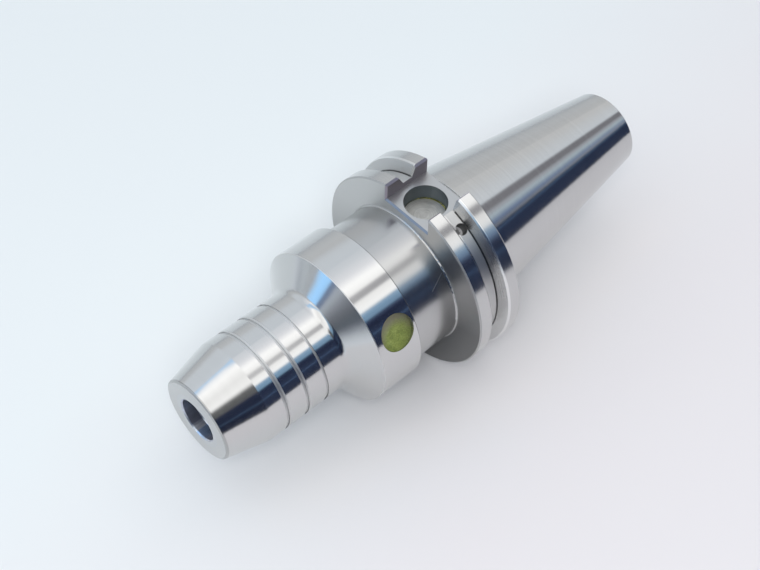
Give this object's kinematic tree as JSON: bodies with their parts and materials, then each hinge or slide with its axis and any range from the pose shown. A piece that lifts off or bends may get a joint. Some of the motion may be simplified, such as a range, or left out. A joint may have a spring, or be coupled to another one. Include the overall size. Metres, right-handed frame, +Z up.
{
  "type": "hydraulic chuck",
  "caption": "Hydraulic expansion tool holder: taper shank with slotted V-flange, stepped body with side oil ports, and a grooved nose whose thin sleeve grips a round tool shank.",
  "frame": {"origin": "centre of the bounding box in plan, at the surface that the chuck lies on", "axes": "+Z up through the upper drive slot, +X along the tool axis towards the taper's small end, so the nose points to -X; +Y to the side of the actuation screw"},
  "size_m": [0.1634, 0.0636, 0.061],
  "materials": {
    "holder_steel": "fine turned and ground alloy steel",
    "sleeve_steel": "ground steel",
    "screw_steel": "blackened steel",
    "spring_steel": "hardened spring steel",
    "ball_steel": "polished bearing steel",
    "piston_steel": "ground steel",
    "disc_steel": "matt turned steel",
    "seal_rubber": "moulded nitrile rubber",
    "backup_plastic": "plain white low-friction plastic",
    "sealing_resin": "cast olive green resin"
  },
  "bodies": {
    "holder": {"holder_body": "holder_steel", "expansion_sleeve": "sleeve_steel", "screw_retaining_ring": "spring_steel", "balance_disc": "disc_steel", "balance_disc_resin": "sealing_resin", "filler_ball": "ball_steel", "filler_screw": "screw_steel", "filler_resin_plug": "sealing_resin", "vent_ball": "ball_steel", "vent_screw": "screw_steel", "vent_resin_plug": "sealing_resin", "balance_screw_1": "screw_steel", "balance_screw_2": "screw_steel"},
    "piston": {"pressure_piston": "piston_steel", "piston_seal": "seal_rubber", "piston_backup_ring": "backup_plastic", "thrust_ball": "ball_steel"},
    "actuation_screw": {"actuation_screw": "screw_steel"},
    "adjusting_seal": {"adjusting_screw_seal": "seal_rubber"},
    "adjusting_screw": {"length_adjusting_screw": "screw_steel"}
  },
  "joints": [
    {"name": "piston_slide", "type": "slide", "parent": "holder", "child": "piston", "axis": [0, -1, 0], "range_m": [0, 0.004]},
    {"name": "actuation_screw_turn", "type": "hinge", "parent": "piston", "child": "actuation_screw", "pos_m": [-0.0285, 0, 0.01475], "axis": [0, -1, 0], "range_deg": [0, 1440]},
    {"name": "adjusting_slide", "type": "slide", "parent": "holder", "child": "adjusting_seal", "axis": [-1, 0, 0], "range_m": [-0.005, 0.005]},
    {"name": "adjusting_screw_turn", "type": "hinge", "parent": "adjusting_seal", "child": "adjusting_screw", "pos_m": [-0.0245, 0, 0.0305], "axis": [-1, 0, 0], "range_deg": [-1800, 1800]}
  ],
  "couplings": [
    {"joint": "actuation_screw_turn", "follows": "piston_slide", "rad_per_m": 6283.2},
    {"joint": "adjusting_screw_turn", "follows": "adjusting_slide", "rad_per_m": 6283.2}
  ]
}
